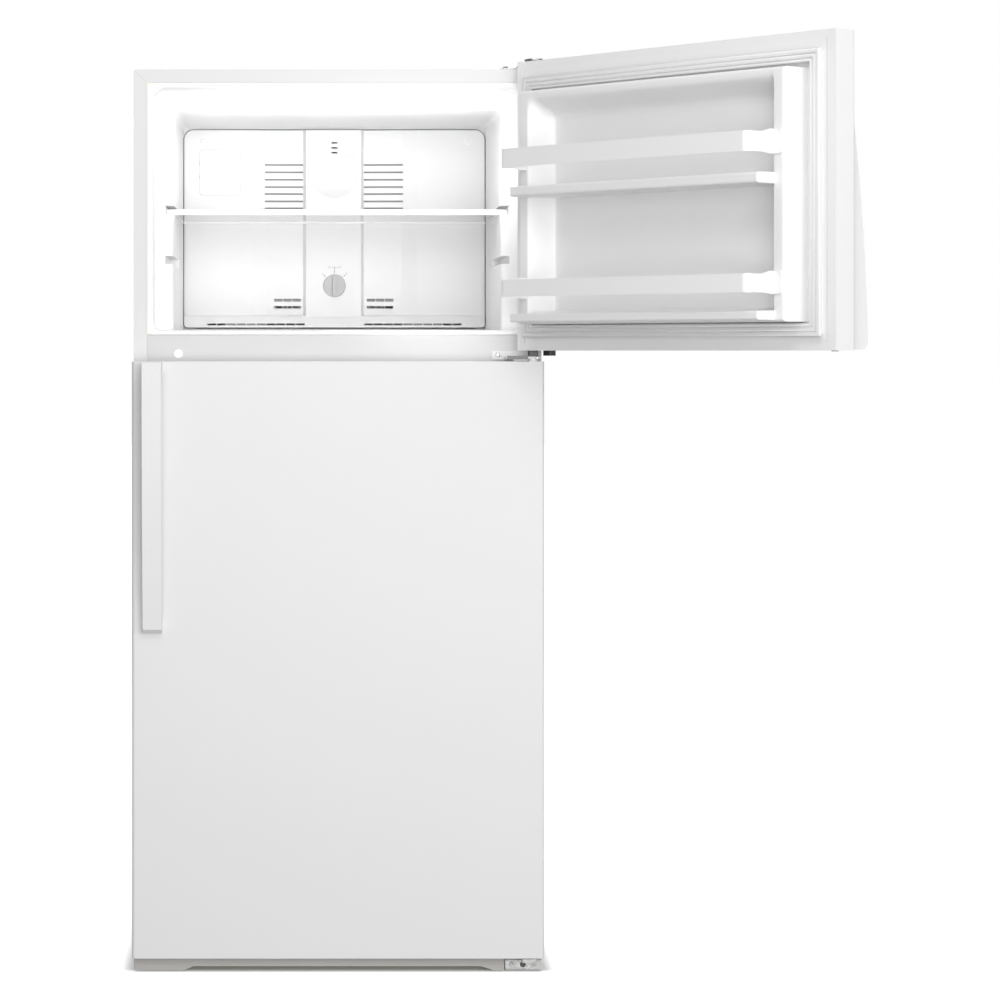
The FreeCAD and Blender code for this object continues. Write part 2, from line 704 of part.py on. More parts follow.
def door_foam(span, rim, half, rise, rims, ledges):
    low, high = span
    core = slab("xy", door_plan(STEEL + 0.2), low + CAP + 0.1, high - CAP - 0.1)
    core = core.common(box(-400, 400, DOOR_FRONT_Y, DOOR_BACK_Y - 1.8, 0, 2000))
    filling = dyke(rim, half, rise, rims, 2.0, ledges)
    neck = box(-half + 2, half - 2, DOOR_BACK_Y - 3, DOOR_BACK_Y + 6,
               rim[0] + 2, rim[1] - 2)
    return fuse(core, filling, neck)


def door_gasket(low, high):
    """The magnetic seal: a bellows foot and a flat magnet band, round the liner."""
    pieces = []
    for out_by, wide, start, end in ((3, 10, 0, 5), (0, GASKET_WIDE, 5, GASKET_HIGH)):
        half = GASKET_OUT - out_by
        outer = rect(-half, half, low + out_by, high - out_by, 5)
        inner = rect(-half + wide, half - wide, low + out_by + wide, high - out_by - wide, 3)
        y0 = DOOR_BACK_Y + start
        y1 = DOOR_BACK_Y + end
        pieces.append(cut(slab("xz", outer, y0, y1), slab("xz", inner, y0 - 1, y1 + 1)))
    return fuse(*pieces)


def door_handle(proud_z, thin_z):
    """A bowed handle, deep at its proud end, hollow and open towards the hinge side."""
    way = 1 if thin_z > proud_z else -1
    length = abs(thin_z - proud_z)

    def depth_at(along):
        t = max(0.0, (along - 14) / (length - 14))
        straight = HANDLE_PROUD + (HANDLE_THIN - HANDLE_PROUD) * t
        return straight + 27.5 * t * (1 - t)

    def profile(x, start, first, last, stop, wall, root):
        """The side outline from start to stop, a wall's thickness inside the surface."""
        def at(along, depth):
            return vec(x, DOOR_FRONT_Y - depth, proud_z + way * along)

        middle = (start + stop) / 2
        curve = [at(a, depth_at(a) - wall) for a in (first, middle, last)]
        corners = [
            curve[2],
            at(stop, max(2.0, depth_at(last) - wall - 7)),
            at(stop, root),
            at(start, root),
            at(start, depth_at(first) - wall - 8),
            curve[0],
        ]
        lines = [Part.LineSegment(a, b).toShape() for a, b in zip(corners, corners[1:])]
        return Part.Face(Part.Wire([Part.Arc(*curve).toShape()] + lines))

    left, right = HANDLE_X
    outer = profile(left, 0, 10, length - 6, length, 0, 0)
    body = outer.extrude(vec(right - left, 0, 0))
    inner = profile(left + HANDLE_WALL, 14, 18, length - 28, length - 26, HANDLE_WALL, -1)
    hollow = inner.extrude(vec(right - left, 0, 0))
    return cut(body, hollow)


def retainer_bar(low, high):
    """A door shelf's front bar, with arms back to the rim and feet against it."""
    back = DOOR_BACK_Y + 57.5
    front = DOOR_BACK_Y + 125
    plan_out = [(-296, back + 10), (-296, front, 12), (296, front, 12), (296, back + 10)]
    plan_in = [
        (293, back + 10), (293, front - 3, 9), (-293, front - 3, 9), (-293, back + 10),
    ]
    wall = slab("xy", plan_out, low, high)
    wall = cut(wall, slab("xy", plan_in, low - 1, high + 1))
    roll = slab("yz", rect(front - 6, front, high - 5, high, 2), -284, 284)
    arm = [(back, low - 2), (back + 12, low - 2), (back + 30, low),
           (back + 30, high), (back + 12, high + 5), (back, high + 5)]
    arms = pair(slab("yz", arm, 293, 296))
    feet = pair(slab("xz", rect(293, 312, low - 2, high + 5, 4), back, back + 3))
    return fuse(wall, roll, *arms, *feet)


def freezer_door_bushes():
    """Dark plastic: the bearing washer, the door stop and the spare hole's plugs."""
    low, high = FREEZER_DOOR
    washer = rod("z", PIVOT_X, PIVOT_Y, 9, CENTRE_LEAF[1] + 0.3, low)
    washer = cut(washer, rod("z", PIVOT_X, PIVOT_Y, PIN_R + RUNNING, low - 20, low + 1))
    stop = slab("xy", rect(324, 344, -61, -45, 3), CENTRE_LEAF[1] + 1.5, low)
    plugs = [rod("z", -PIVOT_X, PIVOT_Y, 6, high, high + 1.2)]
    plugs.append(rod("z", -PIVOT_X, PIVOT_Y, 6, low - 1.2, low))
    return Part.makeCompound([washer, stop, *plugs])


def fresh_door_bush():
    """The bearing washer on top of the fresh food door."""
    top = FRESH_DOOR[1]
    washer = rod("z", PIVOT_X, PIVOT_Y, 9, top, CENTRE_LEAF[0] - 0.3)
    return cut(washer, rod("z", PIVOT_X, PIVOT_Y, PIN_R + RUNNING, top - 1, top + 9))


def door_bin(low, high, depth):
    """A lift-out bin: an open tray with a rounded front and a rolled rim."""
    back = DOOR_BACK_Y + 9
    front = back + depth
    plan = [(-298, back), (298, back), (298, front, 24), (-298, front, 24)]
    inner = [(-295, back + 3), (295, back + 3), (295, front - 3, 21), (-295, front - 3, 21)]
    tray = cut(slab("xy", plan, low, high), slab("xy", inner, low + 3, high + 1))
    front_cut = box(-297, 297, back + 30, front + 5, high - 22, high + 5)
    rim = slab("yz", rect(front - 7, front, high - 27, high - 22, 2), -274, 274)
    return fuse(cut(tray, front_cut), rim)


# ---- fresh food compartment -----------------------------------------------------------------

def control_housing():
    """The box under the ceiling that holds the light, its switch and the dial."""
    low, high = CONTROL_Z
    corners = [
        (CONTROL_Y[0], low + 10, 8), (CONTROL_Y[0], high),
        (CONTROL_Y[1], high), (CONTROL_Y[1], low, 8), (CONTROL_Y[0] + 20, low, 8),
    ]
    shape = slab("yz", corners, -160, 160)
    lamp_space = box(-70, 110, CONTROL_Y[0] + 30, CONTROL_Y[1] - 20, low - 5, high - 6)
    dial = rod("y", *CONTROL_KNOB, AXLE_R + RUNNING, CONTROL_Y[0] - 5, CONTROL_Y[0] + 20)
    button = rod("y", *SWITCH, 5.05, CONTROL_Y[0] - 5, CONTROL_Y[0] + 30)
    return cut(shape, lamp_space, dial, button)


def light_bulb():
    """An appliance bulb lying under its cover, with its cap in the holder."""
    x, y = BULB
    z = 1062.0
    half = [
        (x - 18, z), (x - 18, z + 16, 14), (x + 14, z + 16, 10), (x + 24, z + 9, 4),
        (x + 34, z + 9), (x + 34, z + 11), (x + 58, z + 11), (x + 58, z),
    ]
    bulb = Part.Face(outline("xz", half, y)).revolve(vec(x, y, z), vec(1, 0, 0), 360)
    holder = box(x + 58, x + 100, y - 16, y + 16, z - 14, z + 20)
    return Part.makeCompound([bulb, holder])


def fresh_food_control_knob():
    x, z = CONTROL_KNOB
    face = CONTROL_Y[0] - 0.5
    disc = rod("y", x, z, 16, face - 10, face)
    disc = rounded(disc, 2, lambda e: flat_at(e, "Y", face - 10))
    grip = slab("xz", rect(x - 3, x + 3, z - 12, z + 12, 2), face - 18, face - 8)
    shaft = rod("y", x, z, AXLE_R, face - 3, face + 16)
    return fuse(disc, grip, shaft)


def light_switch_plunger():
    """The button that the door's rim holds in; drawn out, just clear of the door."""
    x, z = SWITCH
    shape = rod("y", x, z, 5, SWITCH_FRONT, CONTROL_Y[0] + 12)
    return rounded(shape, 2, lambda e: flat_at(e, "Y", SWITCH_FRONT))


def fresh_food_shelves():
    """Two shelves: a glass pane in a moulded frame, drawn as frame and pane."""
    pieces = []
    for z in FRESH_SHELF_Z:
        frame = slab("xy", rect(-327, 327, 112, 610, 6), z + 0.2, z + 14)
        frame = cut(frame, slab("xy", rect(-306, 306, 132, 592, 4), z - 1, z + 20))
        seat = slab("xy", rect(-314, 314, 124, 600, 4), z + 8, z + 20)
        pieces.append(cut(frame, seat))
        pieces.append(box(-313.5, 313.5, 124.5, 599.5, z + 8.2, z + 12.2))
    return Part.makeCompound(pieces)


def crisper_cover():
    """The glass cover over the drawers, with its moulded frame."""
    z = CRISPER_COVER_Z
    frame = slab("xy", rect(-327, 327, 116, 427, 6), z + 0.2, z + 12)
    frame = cut(frame, slab("xy", rect(-312, 312, 132, 415, 4), z - 1, z + 20))
    seat = box(-318, 318, 124, 421, z + 7, z + 20)
    pane = box(-317.5, 317.5, 124.5, 420.5, z + 7.2, z + 11.2)
    return Part.makeCompound([cut(frame, seat), pane])


def crisper():
    """The right-hand drawer: an open moulded tray with a pull along its front."""
    low, high = FRESH_FLOOR + 2, CRISPER_COVER_Z - 12
    side = [(120, low, 10), (418, low, 10), (418, high), (112, high)]
    outer = slab("yz", side, 4, 316)
    inner_side = [(123.2, low + 3, 8), (415, low + 3, 8), (415, high + 1), (115, high + 1)]
    inner = slab("yz", inner_side, 7, 313)
    pull = slab("yz", [(104, high - 26, 3), (113, high - 26), (113, high), (104, high, 4)],
                12, 308)
    pull = cut(pull, box(20, 300, 100, 109, high - 30, high - 8))
    return fuse(cut(outer, inner), pull)


# ---- machine compartment ------------------------------------------------------------------

def compressor():
    """A hermetic can on a foot plate, with its stubs of pipe and its relay box."""
    x, y = COMPRESSOR
    can = rod("z", x, y, 80, 56, 200)
    can = rounded(can, 34, lambda e: flat_at(e, "Z", 200) or flat_at(e, "Z", 56))
    foot = slab("xy", rect(x - 95, x + 95, y - 70, y + 70, 12), 52, 62)
    relay = box(x + 60, x + 100, y - 30, y + 20, 100, 160)
    stubs = [rod("z", x - 45, y + dy, 5, 150, 222) for dy in (-30, 30)]
    shape = fuse(can, foot, relay, *stubs)
    holes = [rod("z", x + dx, y + dy, 6, 40, 70) for dx in (-82, 82) for dy in (-57, 57)]
    return cut(shape, *holes)


def compressor_mounts():
    """Rubber grommets under the compressor's foot plate."""
    x, y = COMPRESSOR
    mounts = []
    for dx in (-82, 82):
        for dy in (-57, 57):
            mount = rod("z", x + dx, y + dy, 11, PAN_TOP, 52)
            mounts.append(fuse(mount, rod("z", x + dx, y + dy, 5.9, 50, 66)))
    return Part.makeCompound(mounts)


def condenser_coil():
    """Fins on tubes, beside the fan, standing on the pan."""
    fins = [box(x - 0.6, x + 0.6, 510, 640, 48, 200) for x in range(10, 151, 14)]
    tubes = []
    for y in (535, 575, 615):
        tubes += [rod("x", y, z, 4.5, 2, 158) for z in (70, 105, 140, 175)]
        tubes.append(rod("z", 2, y, 4.5, 70, 175))
    feet = [box(x - 4, x + 4, 515, 635, PAN_TOP, 50) for x in (38, 122)]
    header = rod("y", 2, 70, 4.5, 535, 615)
    return fuse(*fins, *tubes, *feet, header)


def condenser_fan_motor():
    """The motor on its bracket, shaft towards the condenser."""
    y, z = 575.0, 125.0
    body = rod("x", y, z, 28, -84, -54)
    shaft = rod("x", y, z, 3, -56, -26)
    stand = box(-76, -68, y - 20, y + 20, PAN_TOP, z - 10)
    foot = box(-84, -58, y - 30, y + 30, PAN_TOP, PAN_TOP + 3)
    return fuse(body, shaft, stand, foot)


def condenser_fan_blade():
    fan = fan_blade(62, 16, 3 + RUNNING, 20)
    fan.rotate(vec(0, 0, 0), vec(0, 0, 1), 90)
    fan.translate(vec(FAN_X - 10, 575, 125))
    return fan


def drain_pan():
    """The open tray that the defrost water runs to."""
    tray = slab("xy", rect(185, 355, 490, 665, 14), PAN_TOP + 0.2, 72)
    return cut(tray, slab("xy", rect(188, 352, 493, 662, 11), PAN_TOP + 3, 80))


def machine_cover():
    """The slotted board over the back of the machine compartment."""
    plate = box(-374, 374, 687, 690, 20, MACHINE_TOP - 0.5)
    slots = []
    for x in (-300, -210, -120, 60, 150):
        for row in range(9):
            z = 62 + 17 * row
            slots.append(slab("xz", rect(x, x + 70, z, z + 7, 3.4), 680, 700))
    slots.append(rod("y", 320, 60, 11, 680, 700))
    return cut(plate, *slots)


def cord_gland():
    """The bush where a power cord would leave through the rear board."""
    body = rod("y", 320, 60, 10.9, 684, 694)
    flange = rod("y", 320, 60, 15, 690, 693)
    return cut(fuse(body, flange), rod("y", 320, 60, 5, 680, 700))


def roller_brackets():
    """A pair of cheeks and an axle for each rear roller."""
    cheeks = [box(x - 1, x + 1, ROLLER_Y - 16, ROLLER_Y + 16, 9, PAN_BOTTOM)
              for x in (ROLLER_X - 13, ROLLER_X + 13)]
    top = box(ROLLER_X - 14, ROLLER_X + 14, ROLLER_Y - 16, ROLLER_Y + 16,
              PAN_BOTTOM - 1, PAN_BOTTOM)
    axle = rod("x", ROLLER_Y, ROLLER_R, AXLE_R, ROLLER_X - 16, ROLLER_X + 16)
    return Part.makeCompound(pair(fuse(*cheeks, top, axle)))


def rear_roller():
    tyre = rod("x", ROLLER_Y, ROLLER_R, ROLLER_R, ROLLER_X - 10, ROLLER_X + 10)
    edges = lambda e: flat_at(e, "X", ROLLER_X - 10) or flat_at(e, "X", ROLLER_X + 10)
    tyre = rounded(tyre, 2, edges)
    bore = rod("x", ROLLER_Y, ROLLER_R, AXLE_R + RUNNING, ROLLER_X - 20, ROLLER_X + 20)
    return cut(tyre, bore)


def levelling_leg():
    """A round foot, a hexagon to turn it by, and a threaded stud drawn plain."""
    foot = rod("z", LEG_X, LEG_Y, FOOT_R, 0, 7)
    foot = rounded(foot, 1.5, lambda e: flat_at(e, "Z", 7))
    nut = hexagon("z", LEG_X, LEG_Y, 16, 7, 16)
    stud = rod("z", LEG_X, LEG_Y, STUD_R, 15, 49.5)
    return fuse(foot, nut, stud)


# ---- writing the pieces --------------------------------------------------------------------

def swung(shape):
    """A piece of the freezer door, turned from shut to where it stands open."""
    turned = shape.copy()
    turned.rotate(vec(PIVOT_X, PIVOT_Y, 0), vec(0, 0, 1), FREEZER_OPEN)
    return turned


def freezer_door_parts():
    return {
        "freezer_door_skin": door_skin(FREEZER_DOOR),
        "freezer_door_liner": door_liner(FREEZER_DOOR, *FREEZER_FORM),
        "freezer_door_foam": door_foam(FREEZER_DOOR, *FREEZER_FORM),
        "freezer_door_gasket": door_gasket(1170, 1646),
        "freezer_door_caps": door_caps(FREEZER_DOOR, []),
        "freezer_door_bushes": freezer_door_bushes(),
        "freezer_door_handle": door_handle(1148, 1545),
        "freezer_door_upper_bar": retainer_bar(1474, 1508),
        "freezer_door_lower_bar": retainer_bar(1242, 1273),
    }


def fresh_door_parts():
    return {
        "fresh_food_door_skin": door_skin(FRESH_DOOR),
        "fresh_food_door_liner": door_liner(FRESH_DOOR, *FRESH_FORM),
        "fresh_food_door_foam": door_foam(FRESH_DOOR, *FRESH_FORM),
        "fresh_food_door_gasket": door_gasket(52, 1113),
        "fresh_food_door_caps": door_caps(FRESH_DOOR, [fresh_door_bush()]),
        "fresh_food_door_handle": door_handle(1124, 630),
        "fresh_food_bin_upper": door_bin(800, 890, 96),
        "fresh_food_bin_lower": door_bin(420, 530, 96),
    }


def cabinet_parts():
    return {
        "cabinet_shell": cabinet_shell(),
        "rear_panel": rear_panel(),
        "base_frame": base_frame(),
        "cabinet_foam": cabinet_foam(),
        "freezer_liner": freezer_liner(),
        "fresh_food_liner": fresh_food_liner(),
        "mullion_cover": mullion_cover(),
        "toe_grille": toe_grille(),
        "evaporator_cover": evaporator_cover(),
        "wiring_cover": wiring_cover(),
        "air_duct": air_duct(),
        "evaporator_coil": evaporator_coil(),
        "evaporator_fan_motor": evaporator_fan_motor(),
        "top_hinge": top_hinge(),
        "centre_hinge": centre_hinge(),
        "bottom_hinge": bottom_hinge(),
        "hinge_screws": hinge_screws(),
        "hole_plugs": hole_plugs(),
        "control_housing": control_housing(),
        "light_bulb": light_bulb(),
        "fresh_food_shelves": fresh_food_shelves(),
        "crisper_cover": crisper_cover(),
        "compressor": compressor(),
        "compressor_mounts": compressor_mounts(),
        "condenser_coil": condenser_coil(),
        "condenser_fan_motor": condenser_fan_motor(),
        "drain_pan": drain_pan(),
        "machine_cover": machine_cover(),
        "cord_gland": cord_gland(),
        "roller_brackets": roller_brackets(),
    }


def moving_parts():
    return {
        "evaporator_fan_blade": evaporator_fan_blade(),
        "freezer_control_knob": freezer_control_knob(),
        "freezer_shelf_glass": freezer_shelf_glass(),
        "freezer_shelf_trim": freezer_shelf_trim(),
        "fresh_food_control_knob": fresh_food_control_knob(),
        "light_switch_plunger": light_switch_plunger(),
        "condenser_fan_blade": condenser_fan_blade(),
        "crisper_right": crisper(),
        "crisper_left": mirrored(crisper()),
        "roller_right": rear_roller(),
        "roller_left": mirrored(rear_roller()),
        "levelling_leg_right": levelling_leg(),
        "levelling_leg_left": mirrored(levelling_leg()),
    }


def main():
    os.makedirs("parts", exist_ok=True)
    parts = dict(cabinet_parts())
    parts.update(moving_parts())
    parts.update(fresh_door_parts())
    parts.update({name: swung(shape) for name, shape in freezer_door_parts().items()})
    for name, shape in parts.items():
        placed = shape.copy()
        placed.translate(vec(LEG_X, -LEG_Y, 0))
        placed.exportStep("parts/%s.step" % name)
        print("%-28s %2d solids %9.0f mm3 %s" % (
            name, len(placed.Solids), placed.Volume, placed.isValid()))


main()
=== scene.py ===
import json
import math

import bmesh
import bpy
from mathutils import Matrix, Vector


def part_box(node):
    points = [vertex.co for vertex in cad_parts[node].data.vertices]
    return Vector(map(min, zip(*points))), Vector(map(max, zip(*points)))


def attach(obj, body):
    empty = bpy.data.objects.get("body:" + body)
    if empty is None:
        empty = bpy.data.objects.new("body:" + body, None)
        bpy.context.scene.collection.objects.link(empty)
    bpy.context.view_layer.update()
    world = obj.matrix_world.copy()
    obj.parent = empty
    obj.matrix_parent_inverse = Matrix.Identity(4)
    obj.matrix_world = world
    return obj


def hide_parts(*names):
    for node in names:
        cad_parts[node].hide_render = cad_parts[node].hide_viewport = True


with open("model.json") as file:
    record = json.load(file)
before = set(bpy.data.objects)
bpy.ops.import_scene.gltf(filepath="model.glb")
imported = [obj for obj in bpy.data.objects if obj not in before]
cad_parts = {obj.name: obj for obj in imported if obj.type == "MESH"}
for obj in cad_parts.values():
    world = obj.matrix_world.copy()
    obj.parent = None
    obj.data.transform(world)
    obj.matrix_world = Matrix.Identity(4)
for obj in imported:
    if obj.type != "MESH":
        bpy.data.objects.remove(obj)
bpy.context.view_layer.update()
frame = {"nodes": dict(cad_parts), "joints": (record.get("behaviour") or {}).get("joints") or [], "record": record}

# A top freezer refrigerator. Pieces are drawn in millimetres about the middle of the
# cabinet's front, and turned into the row frame as they are made.

# ---- places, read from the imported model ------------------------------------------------

shell_low, shell_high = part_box("cabinet_shell")
MIDDLE_X = (shell_low.x + shell_high.x) / 2
FRONT_Y = shell_low.y
CABINET = Matrix.Translation((MIDDLE_X, FRONT_Y, 0)) @ Matrix.Scale(0.001, 4)
INTO_CABINET = CABINET.inverted()

HINGE = next(j for j in frame["joints"] if j["name"] == "freezer_door_hinge")
PIVOT = INTO_CABINET @ Vector(HINGE["pos_m"])
FREEZER_OPEN = -HINGE["range_deg"][0]
SWING = (Matrix.Translation(PIVOT) @ Matrix.Rotation(math.radians(FREEZER_OPEN), 4, "Z")
         @ Matrix.Translation(-PIVOT))
OPEN_DOOR = CABINET @ SWING


def span(node):
    """A node's lowest and highest corners, in cabinet millimetres."""
    low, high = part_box(node)
    return INTO_CABINET @ low, INTO_CABINET @ high


# ---- camera and light --------------------------------------------------------------------

CAMERA_PLACE = (0.2753, -5.494, 1.147)
LENS_MM = 106.4
LENS_SHIFT = (0.2, -0.15)
SOFT_LIGHT = 0.25
FLOOR_HALF = 30
FLOOR_DROP = 0.0005
# width of the painted contact shadow, over which the floor's glow fades out towards the cabinet's footprint
PAINTED_SHADOW_WIDTH = 0.05
GLOW_FULL = 1.0


def make_camera():
    data = bpy.data.cameras.new("camera")
    data.sensor_width = 36.0
    data.lens = LENS_MM
    data.shift_x, data.shift_y = LENS_SHIFT
    data.clip_end = 60.0
    camera = bpy.data.objects.new("camera", data)
    bpy.context.scene.collection.objects.link(camera)
    camera.location = CAMERA_PLACE
    camera.rotation_euler = (math.radians(90), 0, 0)
    bpy.context.scene.camera = camera


def area_light(name, place, target, size, power):
    """A soft box aimed at a place; the two narrow fills stay out of reflections."""
    data = bpy.data.lights.new(name, "AREA")
    data.shape = "RECTANGLE"
    data.size, data.size_y = size
    data.energy = power
    light = bpy.data.objects.new(name, data)
    bpy.context.scene.collection.objects.link(light)
    light.location = place
    aim = Vector(target) - Vector(place)
    light.rotation_euler = aim.to_track_quat("-Z", "Y").to_euler()
    light.visible_camera = False
    light.visible_glossy = size[1] > 0.5


def make_studio():
    scene = bpy.context.scene
    scene.view_settings.view_transform = "Standard"
    scene.cycles.diffuse_bounces = 8
    world = bpy.data.worlds.new("studio")
    scene.world = world
    world.use_nodes = True
    nodes, links = world.node_tree.nodes, world.node_tree.links
    nodes.clear()
    soft = nodes.new("ShaderNodeBackground")
    soft.inputs["Strength"].default_value = SOFT_LIGHT
    white = nodes.new("ShaderNodeBackground")
    white.inputs["Strength"].default_value = 1.0
    for shade in (soft, white):
        shade.inputs["Color"].default_value = (1, 1, 1, 1)
    path = nodes.new("ShaderNodeLightPath")
    mix = nodes.new("ShaderNodeMixShader")
    out = nodes.new("ShaderNodeOutputWorld")
    links.new(path.outputs["Is Camera Ray"], mix.inputs["Fac"])
    links.new(soft.outputs[0], mix.inputs[1])
    links.new(white.outputs[0], mix.inputs[2])
    links.new(mix.outputs[0], out.inputs["Surface"])
    middle = (0.35, 0.2, 1.1)
    area_light("front_box", (0.8, -4.6, 1.25), middle, (3.2, 2.6), 130)
    area_light("over_box", (0.6, -2.4, 3.0), middle, (1.6, 1.0), 26)
    area_light("right_box", (3.4, -3.6, 1.6), middle, (1.6, 2.2), 40)
    area_light("top_box", (0.4, 0.6, 4.6), (0.4, 0.5, 0), (3.0, 3.0), 50)
    area_light("back_box", (-0.2, 4.8, 2.2), middle, (3.0, 2.4), 110)
    area_light("upper_fill", (0.345, -0.03, 1.46), (0.38, 0.35, 1.6), (0.55, 0.08), 0.95)
    area_light("lower_fill", (0.345, -0.03, 1.24), (0.5, 0.40, 1.3), (0.55, 0.08), 0.2)


def make_floor():
    """A white sweep that glows evenly by itself, with a painted contact shadow close round what stands on it,
    where the glow fades to nothing.
    """
    bm = bmesh.new()
    bmesh.ops.create_grid(bm, x_segments=8, y_segments=8, size=FLOOR_HALF)
    mesh = bpy.data.meshes.new("floor")
    bm.to_mesh(mesh)
    bm.free()
    floor = bpy.data.objects.new("floor", mesh)
    bpy.context.scene.collection.objects.link(floor)
    floor.location = (MIDDLE_X, (shell_low.y + shell_high.y) / 2, -FLOOR_DROP)
    floor.visible_diffuse = False
    paint = finish("floor_paint", (0.9, 0.9, 0.9), 0.6, mottle=0.005)
    nodes, links = paint.node_tree.nodes, paint.node_tree.links
    coords = nodes.new("ShaderNodeTexCoord")
    size = nodes.new("ShaderNodeVectorMath")
    size.operation = "ABSOLUTE"
    links.new(coords.outputs["Object"], size.inputs[0])
    away = nodes.new("ShaderNodeVectorMath")
    away.operation = "SUBTRACT"
    away.inputs[1].default_value = (*((shell_high - shell_low).xy / 2), 0)
    links.new(size.outputs[0], away.inputs[0])
    outside = nodes.new("ShaderNodeVectorMath")
    outside.operation = "MAXIMUM"
    outside.inputs[1].default_value = (0, 0, 0)
    links.new(away.outputs[0], outside.inputs[0])
    distance = nodes.new("ShaderNodeVectorMath")
    distance.operation = "LENGTH"
    links.new(outside.outputs[0], distance.inputs[0])
    # painted contact shadow: the glow rises from nothing at the cabinet's footprint to full a few centimetres out
    glow = nodes.new("ShaderNodeMapRange")
    glow.interpolation_type = "SMOOTHSTEP"
    glow.inputs["From Max"].default_value = PAINTED_SHADOW_WIDTH
    glow.inputs["To Max"].default_value = GLOW_FULL
    links.new(distance.outputs["Value"], glow.inputs["Value"])
    shader = nodes["Principled BSDF"]
    shader.inputs["Emission Color"].default_value = (1, 1, 1, 1)
    links.new(glow.outputs["Result"], shader.inputs["Emission Strength"])
    mesh.materials.append(paint)


# ---- materials ---------------------------------------------------------------------------

def finish(name, colour, rough, mottle=0.015, mottle_scale=5.0, grain=0.0, grain_scale=900.0,
           speckle=0.0, speckle_scale=500.0, metal=0.0, coat=0.0, clear=0.0,
           specular=0.5, rough_range=0.05):
    """A procedural finish: slow tint changes, uneven gloss, fine grain, and speckles."""
    material = bpy.data.materials.new(name)
    material.use_nodes = True
    nodes, links = material.node_tree.nodes, material.node_tree.links
    shader = nodes["Principled BSDF"]
    coords = nodes.new("ShaderNodeTexCoord")
    place = coords.outputs["Object"]

    slow = nodes.new("ShaderNodeTexNoise")
    slow.inputs["Scale"].default_value = mottle_scale
    slow.inputs["Detail"].default_value = 3.0
    links.new(place, slow.inputs["Vector"])
    tint = nodes.new("ShaderNodeMix")
    tint.data_type = "RGBA"
    tint.inputs["A"].default_value = (*[c * (1 - mottle) for c in colour], 1)
    tint.inputs["B"].default_value = (*[min(1.0, c * (1 + mottle)) for c in colour], 1)
    links.new(slow.outputs["Fac"], tint.inputs["Factor"])
    base = tint.outputs["Result"]
    if speckle:
        cells = nodes.new("ShaderNodeTexVoronoi")
        cells.inputs["Scale"].default_value = speckle_scale
        links.new(place, cells.inputs["Vector"])
        dark = nodes.new("ShaderNodeMix")
        dark.data_type = "RGBA"
        dark.inputs["B"].default_value = (*[c * (1 - speckle) for c in colour], 1)
        links.new(cells.outputs["Color"], dark.inputs["Factor"])
        links.new(base, dark.inputs["A"])
        base = dark.outputs["Result"]
    links.new(base, shader.inputs["Base Color"])

    patch = nodes.new("ShaderNodeTexNoise")
    patch.inputs["Scale"].default_value = mottle_scale * 7
    links.new(place, patch.inputs["Vector"])
    gloss = nodes.new("ShaderNodeMapRange")
    gloss.inputs["To Min"].default_value = max(0.02, rough - rough_range)
    gloss.inputs["To Max"].default_value = min(1.0, rough + rough_range)
    links.new(patch.outputs["Fac"], gloss.inputs["Value"])
    links.new(gloss.outputs["Result"], shader.inputs["Roughness"])

    if grain:
        fine = nodes.new("ShaderNodeTexNoise")
        fine.inputs["Scale"].default_value = grain_scale
        fine.inputs["Detail"].default_value = 2.0
        links.new(place, fine.inputs["Vector"])
        bump = nodes.new("ShaderNodeBump")
        bump.inputs["Strength"].default_value = 0.6
        bump.inputs["Distance"].default_value = grain
        links.new(fine.outputs["Fac"], bump.inputs["Height"])
        links.new(bump.outputs["Normal"], shader.inputs["Normal"])

    shader.inputs["Metallic"].default_value = metal
    shader.inputs["Coat Weight"].default_value = coat
    shader.inputs["Coat Roughness"].default_value = 0.08
    shader.inputs["IOR"].default_value = 1.5
    shader.inputs["Transmission Weight"].default_value = clear
    shader.inputs["Specular IOR Level"].default_value = specular
    return material


